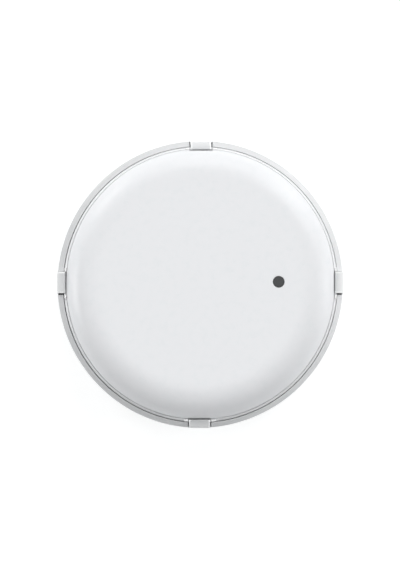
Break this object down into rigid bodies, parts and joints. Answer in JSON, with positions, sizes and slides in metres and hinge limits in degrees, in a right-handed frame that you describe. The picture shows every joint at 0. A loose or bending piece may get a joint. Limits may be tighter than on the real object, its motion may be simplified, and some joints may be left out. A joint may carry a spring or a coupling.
{
  "type": "bluetooth beacon tag",
  "caption": "Round domed beacon tag with a smoked indicator window, held in a wall cradle by snap clips; opens for its coin cell.",
  "frame": {"origin": "middle of the adhesive pad's back, on the wall", "axes": "+Z out of the face, away from the wall; +Y up as it hangs; +X right, towards the indicator"},
  "size_m": [0.0522, 0.0522, 0.0128],
  "materials": {
    "cover_white": "satin",
    "shell_white": "satin",
    "cradle_white": "satin",
    "smoked_window": "gloss",
    "pad_foam": "matte",
    "seal_rubber": "matte",
    "board_laminate": "satin",
    "screw_steel": "satin",
    "holder_black": "matte",
    "contact_steel": "satin",
    "cell_steel": "satin",
    "cell_filling": "satin",
    "gasket_nylon": "matte",
    "chip_epoxy": "matte",
    "trace_copper": "satin",
    "crystal_can": "satin",
    "led_lens": "gloss",
    "ceramic_brown": "matte",
    "ferrite": "matte",
    "resistor_black": "matte",
    "pad_gold": "satin",
    "button_grey": "matte"
  },
  "bodies": {
    "cradle": {"mount_cradle": "cradle_white", "snap_clip_top": "cradle_white", "snap_clip_right": "cradle_white", "snap_clip_bottom": "cradle_white", "snap_clip_left": "cradle_white", "adhesive_pad": "pad_foam"},
    "tag": {"rear_shell": "shell_white", "circuit_board": "board_laminate", "board_screws": "screw_steel", "battery_holder": "holder_black", "positive_contact": "contact_steel", "negative_contact": "contact_steel", "battery_can": "cell_steel", "battery_gasket": "gasket_nylon", "battery_cap": "cell_filling", "bluetooth_chip": "chip_epoxy", "antenna_trace": "trace_copper", "main_crystal": "crystal_can", "clock_crystal": "crystal_can", "status_led": "led_lens", "motion_sensor": "chip_epoxy", "bulk_capacitor": "ceramic_brown", "power_inductor": "ferrite", "capacitors": "ceramic_brown", "resistors": "resistor_black", "test_pads": "pad_gold", "mode_switch_base": "chip_epoxy", "mode_switch_cover": "contact_steel", "mode_switch_dome": "contact_steel", "reset_switch_base": "chip_epoxy", "reset_switch_cover": "contact_steel", "reset_switch_dome": "contact_steel"},
    "cover": {"front_cover": "cover_white", "seal_ring": "seal_rubber", "light_pipe": "smoked_window"},
    "mode_button": {"mode_button": "button_grey"},
    "reset_button": {"reset_button": "button_grey"}
  },
  "joints": [
    {"name": "tag_lift", "type": "slide", "parent": "cradle", "child": "tag", "axis": [0, 0, 1], "range_m": [0, 0.014], "deforming": ["snap_clip_top", "snap_clip_right", "snap_clip_bottom", "snap_clip_left"]},
    {"name": "cover_lift", "type": "slide", "parent": "tag", "child": "cover", "axis": [0, 0, 1], "range_m": [0, 0.016]},
    {"name": "mode_button_press", "type": "slide", "parent": "tag", "child": "mode_button", "axis": [0, 0, -1], "range_m": [0, 0.00025], "stiffness_N_per_m": 4000, "deforming": ["mode_switch_dome"]},
    {"name": "reset_button_press", "type": "slide", "parent": "tag", "child": "reset_button", "axis": [0, 0, -1], "range_m": [0, 0.00025], "stiffness_N_per_m": 4000, "deforming": ["reset_switch_dome"]}
  ]
}
